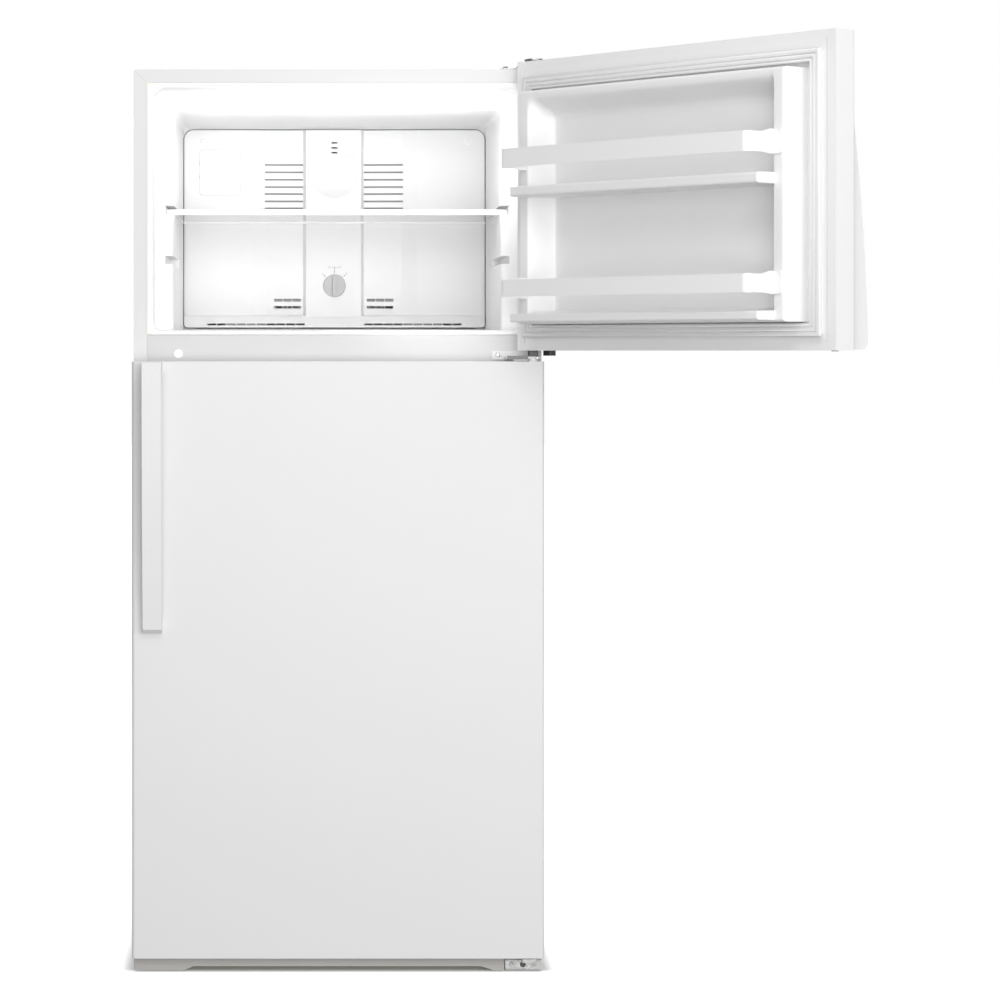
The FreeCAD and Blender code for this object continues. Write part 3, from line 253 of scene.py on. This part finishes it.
def make_finishes():
    """One finish for each material slot of the record."""
    plain = dict(grain=0.00004, grain_scale=700)
    return {
        "white_enamel": finish("white_enamel", (0.71, 0.71, 0.713), 0.5, mottle=0.008,
                               specular=0.35, grain=0.00005, grain_scale=260),
        "grey_enamel": finish("grey_enamel", (0.46, 0.46, 0.46), 0.42, grain=0.00004,
                              grain_scale=320, mottle=0.03),
        "insulation": finish("insulation", (0.84, 0.79, 0.62), 0.9, mottle=0.06,
                             mottle_scale=30, grain=0.0006, grain_scale=240),
        "liner_plastic": finish("liner_plastic", (0.83, 0.83, 0.828), 0.38, mottle=0.008,
                                grain=0.00005, grain_scale=420),
        "white_plastic": finish("white_plastic", (0.94, 0.94, 0.938), 0.4, mottle=0.008, **plain),
        "gasket_vinyl": finish("gasket_vinyl", (0.7, 0.7, 0.703), 0.5, mottle=0.012, **plain),
        "grille_plastic": finish("grille_plastic", (0.43, 0.416, 0.398), 0.48, mottle=0.03,
                                 grain=0.00008, grain_scale=600),
        "knob_plastic": finish("knob_plastic", (0.48, 0.48, 0.48), 0.4, mottle=0.02, **plain),
        "dark_plastic": finish("dark_plastic", (0.022, 0.022, 0.024), 0.45, mottle=0.2, **plain),
        "rubber": finish("rubber", (0.03, 0.03, 0.03), 0.75, mottle=0.2, grain=0.00015,
                         grain_scale=500),
        "zinc_steel": finish("zinc_steel", (0.82, 0.82, 0.81), 0.32, mottle=0.05, speckle=0.28,
                             speckle_scale=650, metal=0.9, grain=0.00012, grain_scale=520,
                             rough_range=0.12),
        "clear_glass": finish("clear_glass", (0.97, 0.98, 0.98), 0.06, clear=1.0,
                              rough_range=0.02),
        "shelf_glass": finish("shelf_glass", (0.86, 0.95, 0.92), 0.05, clear=0.92,
                              rough_range=0.02),
        "crisper_plastic": finish("crisper_plastic", (0.88, 0.92, 0.93), 0.22, clear=0.7,
                                  grain=0.00006, grain_scale=400),
        "fin_aluminium": finish("fin_aluminium", (0.82, 0.83, 0.84), 0.35, metal=1.0,
                                mottle=0.06, mottle_scale=40, grain=0.00005, grain_scale=900),
        "black_enamel": finish("black_enamel", (0.018, 0.018, 0.02), 0.35, mottle=0.25,
                               grain=0.00008, grain_scale=380, coat=0.2),
        "drain_plastic": finish("drain_plastic", (0.2, 0.2, 0.205), 0.5, mottle=0.08, **plain),
    }


def make_variants():
    """Nodes whose finish differs a little from the rest of their slot; several are lit or shaded copies, with
    painted light or shade in their colour.
    """
    handle = finish("handle_enamel", (0.7, 0.7, 0.703), 0.42, mottle=0.008, specular=0.4,
                    grain=0.00004, grain_scale=300)
    # painted shade: both door liners are a darker copy of the liner plastic, for the shade on the open door's
    # inner face
    moulded = finish("door_liner_painted_shade_plastic", (0.78, 0.78, 0.779), 0.42, mottle=0.008,
                     grain=0.00005, grain_scale=420)
    # painted shade: the freezer door's bars are a darker copy of the white plastic
    bar = finish("door_bar_painted_shade_plastic", (0.81, 0.81, 0.808), 0.38, mottle=0.008,
                 grain=0.00004, grain_scale=700)
    textured = finish("textured_enamel", (0.675, 0.675, 0.678), 0.5, mottle=0.008, specular=0.35,
                      grain=0.00014, grain_scale=150)
    cover = finish("cover_plastic", (0.8, 0.8, 0.798), 0.38, mottle=0.008,
                   grain=0.00005, grain_scale=420)
    # painted shade: the cross rail between the doors is a darker copy of the white enamel
    rail = finish("cross_rail_painted_shade_enamel", (0.585, 0.585, 0.588), 0.5, mottle=0.008,
                  specular=0.35, grain=0.00014, grain_scale=150)
    # painted reflection: the top hinge's zinc is darkened to stand for dark surroundings mirrored in it
    zinc_painted_dark_reflection = finish("zinc_painted_dark_reflection", (0.34, 0.34, 0.35), 0.38, mottle=0.1, metal=0.9,
                       speckle=0.4, speckle_scale=500, grain=0.00012, grain_scale=520)
    # painted shade: the foam duct seen through the cover's louvres is grey, so the slots look shaded
    duct = finish("duct_foam_painted_shade", (0.42, 0.42, 0.42), 0.9, mottle=0.05, mottle_scale=40,
                  grain=0.0004, grain_scale=300)
    # painted light: the open freezer door's skin, caps and handle are brighter copies of the white enamel, for the
    # light on their turned faces
    open_door = finish("open_door_painted_light_enamel", (0.77, 0.77, 0.772), 0.5, mottle=0.008,
                       specular=0.35, grain=0.00005, grain_scale=260)
    open_handle = finish("open_door_painted_light_handle", (0.78, 0.78, 0.782), 0.42, mottle=0.008,
                         specular=0.4, grain=0.00004, grain_scale=300)
    # darker, rougher and more speckled zinc for the lowest hinge and its screw heads
    darker_rough_zinc = finish("darker_rough_zinc", (0.44, 0.44, 0.436), 0.55, mottle=0.12, speckle=0.45,
                       speckle_scale=420, metal=0.85, grain=0.00014, grain_scale=480)
    return {
        "cabinet_shell": textured,
        "mullion_cover": rail,
        "top_hinge": zinc_painted_dark_reflection,
        "air_duct": duct,
        "evaporator_cover": cover,
        "bottom_hinge": darker_rough_zinc,
        "freezer_door_skin": open_door,
        "freezer_door_caps": open_door,
        "freezer_door_handle": open_handle,
        "fresh_food_door_handle": handle,
        "freezer_door_liner": moulded,
        "fresh_food_door_liner": moulded,
        "freezer_door_upper_bar": bar,
        "freezer_door_lower_bar": bar,
    }


def paint_frame(finishes, variants):
    """Every CAD node takes the finish of its own material slot."""
    for row in frame["record"]["subparts"]:
        name, slot = row["node"], row["material_slot"]
        node = frame["nodes"][name]
        node.data.materials.clear()
        node.data.materials.append(variants.get(name, finishes[slot]))


# ---- building pieces ---------------------------------------------------------------------

def piece(name, bm, material, body, placed=CABINET, bevel=0.0, crisp=35):
    """Finishes a mesh drawn in millimetres: into the row frame, shaded, riding its body."""
    bmesh.ops.transform(bm, matrix=placed, verts=bm.verts)
    bmesh.ops.recalc_face_normals(bm, faces=bm.faces)
    mesh = bpy.data.meshes.new(name)
    bm.to_mesh(mesh)
    bm.free()
    mesh.polygons.foreach_set("use_smooth", [True] * len(mesh.polygons))
    mesh.set_sharp_from_angle(angle=math.radians(crisp))
    mesh.materials.append(material)
    made = bpy.data.objects.new(name, mesh)
    bpy.context.scene.collection.objects.link(made)
    if bevel:
        soft = made.modifiers.new("soft_edges", "BEVEL")
        soft.width = bevel / 1000
        soft.segments = 3
        soft.limit_method = "ANGLE"
        soft.angle_limit = math.radians(crisp)
    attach(made, body)
    return made


def loft(bm, rings, closed=True):
    """Skins rings of equal length, each a closed loop; capped where they don't close."""
    loops = [[bm.verts.new(p) for p in ring] for ring in rings]
    pairs = list(zip(loops, loops[1:])) + ([(loops[-1], loops[0])] if closed else [])
    for one, other in pairs:
        for i in range(len(one)):
            j = (i + 1) % len(one)
            bm.faces.new((one[i], one[j], other[j], other[i]))
    if not closed:
        bm.faces.new(loops[0])
        bm.faces.new(loops[-1])


def lathe(bm, profile, centre, axis, steps=28):
    """Turns (radius, height) points about an axis through centre; height runs along axis."""
    turn = Vector((0, 0, 1)).rotation_difference(Vector(axis)).to_matrix()
    rings = []
    for radius, height in profile:
        ring = []
        for i in range(steps):
            angle = 2 * math.pi * i / steps
            flat = Vector((radius * math.cos(angle), radius * math.sin(angle), height))
            ring.append(Vector(centre) + turn @ flat)
        rings.append(ring)
    loft(bm, rings, closed=False)


def tube(bm, points, radius, sides=8, closed=False):
    """A round bar along points."""
    points = [Vector(p) for p in points]
    count = len(points)
    rings = []
    for i, here in enumerate(points):
        before = points[i - 1] if i or closed else here
        after = points[(i + 1) % count] if i < count - 1 or closed else here
        along = (after - before).normalized()
        helper = Vector((0, 0, 1)) if abs(along.z) < 0.9 else Vector((0, 1, 0))
        side = along.cross(helper).normalized()
        rise = side.cross(along)
        rings.append([
            here + radius * (side * math.cos(a) + rise * math.sin(a))
            for a in (2 * math.pi * k / sides for k in range(sides))
        ])
    loft(bm, rings, closed=closed)


CORNER_STEPS = 6


def rounded_rect(a0, a1, b0, b1, low_round, high_round):
    """Points round a rectangle whose lower and upper corners have their own radii."""
    corners = [(a1 - high_round, b1 - high_round, high_round, 0),
               (a0 + high_round, b1 - high_round, high_round, 90),
               (a0 + low_round, b0 + low_round, low_round, 180),
               (a1 - low_round, b0 + low_round, low_round, 270)]
    points = []
    for a, b, radius, start in corners:
        for i in range(CORNER_STEPS + 1):
            angle = math.radians(start + 90 * i / CORNER_STEPS)
            points.append((a + radius * math.cos(angle), b + radius * math.sin(angle)))
    return points


def slab(bm, outline, axis, low, high):
    """An outline across the y or z axis, made solid from low to high along it."""
    rings = [[(a, level, b) if axis == "y" else (a, b, level) for a, b in outline]
             for level in (low, high)]
    loft(bm, rings, closed=False)


def block(bm, low, high):
    (x0, y0, z0), (x1, y1, z1) = low, high
    slab(bm, [(x0, y0), (x1, y0), (x1, y1), (x0, y1)], "z", z0, z1)


def hexagon(radius):
    turns = [math.radians(60 * i + 30) for i in range(6)]
    return [(radius * math.cos(t), radius * math.sin(t)) for t in turns]


# ---- door seals --------------------------------------------------------------------------

SEAL_PROFILE = (
    (3.2, 0.2), (12.8, 0.2), (12.9, 1.6), (11.6, 2.8), (11.4, 3.6), (14.4, 4.4),
    (20.6, 5.0), (22.0, 6.4), (22.0, 10.6), (21.2, 12.2), (19.6, 13.0), (18.2, 12.6),
    (17.2, 10.8), (16.4, 10.4), (15.6, 10.8), (14.8, 12.6), (13.4, 13.0), (11.2, 13.0),
    (10.0, 12.6), (9.2, 10.8), (8.6, 10.4), (8.0, 10.8), (7.2, 12.6), (5.8, 13.0),
    (2.6, 13.0), (0.9, 12.2), (0.0, 10.6), (0.0, 6.6), (0.9, 5.4), (3.0, 4.8),
    (4.8, 4.0), (4.6, 3.2), (3.1, 2.0),
)
DOOR_BACK_Y = -14.0


def make_seal(name, node, body, placed):
    """A magnetic seal with its bellows foot and two grooves, mitred at the corners."""
    half = span("fresh_food_door_gasket")[1].x
    low, high = (corner.z for corner in span(node))
    bm = bmesh.new()
    rings = []
    for side_x, side_z in ((-1, -1), (1, -1), (1, 1), (-1, 1)):
        edge_z = low if side_z < 0 else high
        rings.append([
            (side_x * (half - inset), DOOR_BACK_Y + rise, edge_z - side_z * inset)
            for inset, rise in SEAL_PROFILE
        ])
    loft(bm, rings)
    seal = piece(name, bm, FINISH["gasket_vinyl"], body, placed, crisp=50)
    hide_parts(node)


# ---- freezer door liner ------------------------------------------------------------------

LINER_HALF = 317.0
LINER_Z = (1194.0, 1616.0)
LINER_RIM_Y = 43.0
LINER_FLOOR_Y = -6.0
LEDGES_Z = ((1197.0, 1212.0), (1423.0, 1441.0))
LEDGE_HALF = 296.0
LEDGE_Y = 85.0
RIM_ROUND = 6
LEDGE_ROUND = 4
# rim width, then the width of the cove that falls from it, on each side
FREE_RIM, FREE_COVE = 23, 8
HINGE_RIM, HINGE_COVE = 23, 26
LOWER_RIM, LOWER_COVE = 17, 5
UPPER_RIM, UPPER_COVE = 11, 38
FOOT_INSET = 0.3
BORDER_HALF = 358.5
BORDER_THICK = 1.5


def soft_step(t):
    t = min(1.0, max(0.0, t))
    return t * t * (3 - 2 * t)


def round_over(distance, radius):
    """How far a rounded edge has fallen away, at a distance in from it."""
    inside = max(0.0, radius - distance)
    return radius - math.sqrt(radius * radius - inside * inside)


def liner_surface(x, z):
    """Where the moulded face lies, at a place on the shut door."""
    low, high = LINER_Z
    depth = (soft_step((LINER_HALF + x - FREE_RIM) / FREE_COVE)
             * soft_step((LINER_HALF - x - HINGE_RIM) / HINGE_COVE)
             * soft_step((z - low - LOWER_RIM) / LOWER_COVE)
             * soft_step((high - z - UPPER_RIM) / UPPER_COVE))
    edge = min(LINER_HALF - abs(x), z - low, high - z)
    y = LINER_RIM_Y + (LINER_FLOOR_Y - LINER_RIM_Y) * depth - round_over(edge, RIM_ROUND)
    for ledge_low, ledge_high in LEDGES_Z:
        inside = min(LEDGE_HALF - abs(x), z - ledge_low, ledge_high - z)
        if inside >= 0:
            y = max(y, LEDGE_Y - round_over(inside, LEDGE_ROUND))
    return y


def grid_lines(low, high, step, fine):
    """Even lines from low to high, with the fine ones added and none crowding them."""
    count = round((high - low) / step)
    even = [low + (high - low) * i / count for i in range(1, count)]
    kept = [v for v in even if min(abs(v - f) for f in fine) > 0.8]
    return sorted({low, high, *kept, *fine})


def make_door_liner():
    """The liner as one moulding, crisp at its free and lower sides and soft elsewhere."""
    low, high = LINER_Z
    rounding = (0.4, 1.2, 2.5, 4, 6)
    sides = rounding + (20.6, 21, 21.5, 22.5, 25, 27, 29, 31, 35, 39, 43, 47)
    xs = grid_lines(-LINER_HALF, LINER_HALF, 12,
                    [way * (LINER_HALF - d) for way in (-1, 1) for d in sides])
    fine = [low + d for d in rounding[:2]] + [high - d for d in rounding]
    for ledge_low, ledge_high in LEDGES_Z:
        for d in (-0.4, 0, 0.6, 1.6, 4):
            fine += [ledge_low + d, ledge_high - d]
    zs = grid_lines(low, high, 6, fine)
    bm = bmesh.new()
    rows = [[bm.verts.new((x, liner_surface(x, z), z)) for x in xs] for z in zs]
    for one, other in zip(rows, rows[1:]):
        for i in range(len(xs) - 1):
            bm.faces.new((one[i], one[i + 1], other[i + 1], other[i]))
    edge = rows[0] + [row[-1] for row in rows[1:]] + rows[-1][-2::-1]
    edge += [row[0] for row in rows[-2:0:-1]]
    foot = [bm.verts.new((v.co.x, DOOR_BACK_Y - FOOT_INSET, v.co.z)) for v in edge]
    for i in range(len(edge)):
        j = (i + 1) % len(edge)
        bm.faces.new((edge[i], edge[j], foot[j], foot[i]))
    bm.faces.new(foot)
    border_low, border_high = (corner.z for corner in span("freezer_door_liner"))
    slab(bm, rounded_rect(-BORDER_HALF, BORDER_HALF, border_low, border_high, 2, 2), "y",
         DOOR_BACK_Y - BORDER_THICK, DOOR_BACK_Y)
    # its finish is the door liners' darker copy of the liner plastic, with painted shade
    liner = piece("freezer_door_moulding", bm, VARIANT["freezer_door_liner"], "freezer_door",
                  OPEN_DOOR, crisp=40)
    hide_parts("freezer_door_liner", "freezer_door_foam")


# ---- freezer compartment -----------------------------------------------------------------

COVER_EDGE_Y = 504.8
DIAL_Z = 1277.0
DIAL_FACE_Y = 499.7


def make_cover_seam():
    """The dark edge seal between the evaporator cover and the liner."""
    outline = rounded_rect(-304.9, 304.9, 1191.7, 1593.0, 8, 20)
    points = []
    for x, z in outline:
        drop = min(1.0, max(0.0, (1217 - z) / 22))
        points.append((x, COVER_EDGE_Y - 8 * drop, z))
    bm = bmesh.new()
    tube(bm, points, 0.7, closed=True)
    piece("evaporator_cover_seal", bm, EXTRA["seam"], "cabinet")


def make_cover_marks():
    """Screw caps, the lid's seam, and the grips on the evaporator cover."""
    bm = bmesh.new()
    for x, y, z in ((-104, 510.9, 1550), (104, 510.9, 1546)):
        lathe(bm, ((8.4, 1.0), (8.4, -0.5), (7.8, -0.9), (7.2, -0.4), (6.6, -0.4),
                   (6.0, -0.9), (2.0, -1.1)), (x, y, z), (0, 1, 0))
    for x in (-266, 270):
        lathe(bm, ((7.0, 0.2), (7.0, -0.4), (6.2, -0.9), (2.0, -1.3)), (x, 504.4, 1570),
              (0, 1, 0))
    piece("evaporator_cover_screw_caps", bm, FINISH["liner_plastic"], "cabinet")
    bm = bmesh.new()
    outline = rounded_rect(-272.3, -190.7, 1460.7, 1552.3, 5, 5)
    tube(bm, [(x, 504.9, z) for x, z in outline], 0.55, sides=6, closed=True)
    for z in (1497, 1525):
        block(bm, (-273.6, 504.2, z - 4), (-272.0, 505.1, z + 4))
    piece("wiring_cover_seam", bm, EXTRA["soft_seam"], "cabinet")


def make_dial_marks():
    """Printed ticks and numbers round the freezer dial."""
    bm = bmesh.new()
    for angle in (-45, 0, 45):
        turn = Matrix.Rotation(math.radians(angle), 3, "Y")
        middle = Vector((0, DIAL_FACE_Y, DIAL_Z))
        outline = [(-0.6, 26.5), (0.6, 26.5), (0.6, 30.5), (-0.6, 30.5)]
        rings = [[middle + turn @ Vector((a, level, b)) for a, b in outline]
                 for level in (0.0, 0.4)]
        loft(bm, rings, closed=False)
    for i in range(-3, 4):
        tall = 2.2 if i % 3 else 3.4
        block(bm, (4 * i - 0.4, DIAL_FACE_Y, 1313), (4 * i + 0.4, DIAL_FACE_Y + 0.4, 1313 + tall))
    piece("freezer_dial_ticks", bm, EXTRA["print"], "cabinet")
    for number, angle in (("1", -45), ("4", 0), ("7", 45)):
        text = bpy.data.curves.new("dial_number_" + number, "FONT")
        text.body = number
        text.size = 5.5
        text.extrude = 0.15
        text.align_x = "CENTER"
        text.align_y = "CENTER"
        made = bpy.data.objects.new("dial_number_" + number, text)
        bpy.context.scene.collection.objects.link(made)
        reach = Matrix.Rotation(math.radians(angle), 3, "Y") @ Vector((0, 0, 34))
        stand = Matrix.Rotation(math.radians(90), 4, "X")
        made.matrix_world = (CABINET @ Matrix.Translation(
            Vector((0, DIAL_FACE_Y + 0.1, DIAL_Z)) + reach) @ stand)
        text.materials.append(EXTRA["print"])
        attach(made, "cabinet")


# ---- cabinet -----------------------------------------------------------------------------

def make_corner_seams():
    """The mitre lines where the front flange's folded sides meet its top."""
    bm = bmesh.new()
    for side in (-1, 1):
        outer, inner = (side * 376.6, 1665.4), (side * 353.6, 1643.2)
        outline = [(outer[0], outer[1]), (outer[0], outer[1] - 0.7),
                   (inner[0], inner[1] - 0.7), (inner[0], inner[1])]
        slab(bm, outline, "y", -0.12, 0.4)
    piece("flange_corner_seams", bm, EXTRA["soft_seam"], "cabinet")


def pan_screw(bm, centre, axis):
    """A pan head with a small dished recess, standing off along axis."""
    lathe(bm, ((4.6, -0.2), (4.6, 0.5), (4.2, 1.5), (3.0, 2.2), (1.6, 2.4), (1.2, 1.6)),
          centre, axis, steps=20)


def hex_screw(bm, centre, axis, across, height):
    """A hexagon head on its washer flange, dished in the middle."""
    turn = Vector((0, 0, 1)).rotation_difference(Vector(axis)).to_matrix()
    middle = Vector(centre)
    reach = across / math.sqrt(3)
    lathe(bm, ((reach + 1.6, -0.1), (reach + 1.6, 0.7), (reach * 0.8, 1.1)), centre, axis)
    rings = []
    for scale, level in ((1.0, 0.6), (1.0, height - 0.7), (0.9, height), (0.55, height),
                         (0.4, height - 0.8)):
        rings.append([middle + turn @ Vector((a, b, level))
                      for a, b in hexagon(reach * scale)])
    loft(bm, rings, closed=False)


BRACKET_SCREWS_X = (321, 362)
BRACKET_SCREW_Z = 14
BRACKET_NOTCH = (341.5, -22.2, 13.5)


def make_hinge_screws():
    """Screw heads on the three hinges, and a dark disc of painted shade inside the lowest one's notch."""
    bm = bmesh.new()
    for x in BRACKET_SCREWS_X:
        hex_screw(bm, (x, -25, BRACKET_SCREW_Z), (0, -1, 0), 7, 3)
    piece("bottom_hinge_screw_heads", bm, VARIANT["bottom_hinge"], "cabinet")
    bm = bmesh.new()
    # painted shade: a dark disc inside the lowest hinge's notch, where the hole lies in shade
    lathe(bm, ((5.3, 0.0), (5.3, 1.2), (4.6, 0.9)), BRACKET_NOTCH, (0, -1, 0))
    piece("bottom_hinge_hole_painted_shade", bm, EXTRA["seam"], "cabinet")
    bm = bmesh.new()
    for y in (18, 42):
        hex_screw(bm, (312, y, 1670), (0, 0, 1), 9, 4)
    hex_screw(bm, (358, 24, 1682.5), (0, 0, 1), 10, 4)
    pan_screw(bm, (297, -3, 1138), (0, -1, 0))
    heads = piece("hinge_screw_heads", bm, FINISH["zinc_steel"], "cabinet")
    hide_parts("hinge_screws")


def make_hinge_shroud():
    """In front of the centre hinge: its dark cam housing, its pin end, and a dark plate of painted shade where the
    hinge leaf lies in shadow between the doors.
    """
    bm = bmesh.new()
    slab(bm, rounded_rect(350.5, 367.5, -50, -44.6, 1.5, 1.5), "z", 1135.2, 1145.4)
    piece("centre_hinge_cam", bm, FINISH["dark_plastic"], "cabinet", bevel=0.8)
    bm = bmesh.new()
    lathe(bm, ((3.0, -0.2), (3.0, 0.9), (2.2, 1.8), (0.8, 2.2)), (366, -50, 1133), (0, -1, 0))
    piece("centre_hinge_pin_end", bm, FINISH["zinc_steel"], "cabinet")
    # painted shade: a thin dark plate standing for the centre hinge's leaf in shadow between the doors
    bm = bmesh.new()
    slab(bm, rounded_rect(311, 349, 1129.5, 1136.2, 1, 1), "y", -51.2, -50.05)
    piece("centre_hinge_leaf_painted_shade", bm, EXTRA["hinge_leaf_shade"], "cabinet", bevel=0.3)


REAR_Y = 690


def make_rear_screws():
    """Pan heads round the back panel and the machine cover."""
    bm = bmesh.new()
    for x in (-368, 368):
        for z in range(280, 1660, 170):
            pan_screw(bm, (x, REAR_Y, z), (0, 1, 0))
    for x in (-300, -110, 110, 300):
        pan_screw(bm, (x, REAR_Y, 1657), (0, 1, 0))
        pan_screw(bm, (x, REAR_Y, 242), (0, 1, 0))
        pan_screw(bm, (x, REAR_Y, 30), (0, 1, 0))
    for x in (-362, 362):
        pan_screw(bm, (x, REAR_Y, 130), (0, 1, 0))
    piece("rear_screw_heads", bm, FINISH["zinc_steel"], "cabinet")


LEG_X, LEG_Y, THREAD_FROM_Z = 345, 15, 17
THREAD_RADIUS, THREAD_PITCH = 5.0, 1.5
THREAD_TURNS, TURN_POINTS = 16, 16


def make_leg_threads():
    """The thread on each levelling leg, between its nut and the corner plate."""
    for side, name in ((-1, "left"), (1, "right")):
        bm = bmesh.new()
        points = []
        for i in range(THREAD_TURNS * TURN_POINTS):
            angle = 2 * math.pi * i / TURN_POINTS
            points.append((side * LEG_X + THREAD_RADIUS * math.cos(angle),
                           LEG_Y + THREAD_RADIUS * math.sin(angle),
                           THREAD_FROM_Z + THREAD_PITCH * i / TURN_POINTS))
        tube(bm, points, 0.55, sides=6)
        piece("leg_thread_" + name, bm, FINISH["zinc_steel"], "leg_" + name)


# ---- the whole scene ---------------------------------------------------------------------

make_camera()
make_studio()
FINISH = make_finishes()
VARIANT = make_variants()
EXTRA = {
    # dark rubber for the evaporator cover's edge seal, used also as painted shade in the lowest hinge's notch
    "seam": finish("seal_rubber_and_hole_shade", (0.1, 0.1, 0.1), 0.7, mottle=0.1, grain=0.0001),
    "soft_seam": finish("shadow_seam", (0.5, 0.5, 0.5), 0.6, mottle=0.03, grain=0.00005),
    # dark colour for the painted shade on the centre hinge's leaf
    "hinge_leaf_shade": finish("hinge_leaf_painted_shade", (0.17, 0.17, 0.172), 0.5, mottle=0.06, grain=0.00005),
    "print": finish("print_ink", (0.09, 0.09, 0.095), 0.5, mottle=0.1, grain=0.00003),
}
paint_frame(FINISH, VARIANT)
make_floor()
make_seal("freezer_door_seal", "freezer_door_gasket", "freezer_door", OPEN_DOOR)
make_seal("fresh_food_door_seal", "fresh_food_door_gasket", "fresh_food_door", CABINET)
make_door_liner()
make_cover_seam()
make_cover_marks()
make_dial_marks()
make_corner_seams()
make_hinge_screws()
make_hinge_shroud()
make_rear_screws()
make_leg_threads()
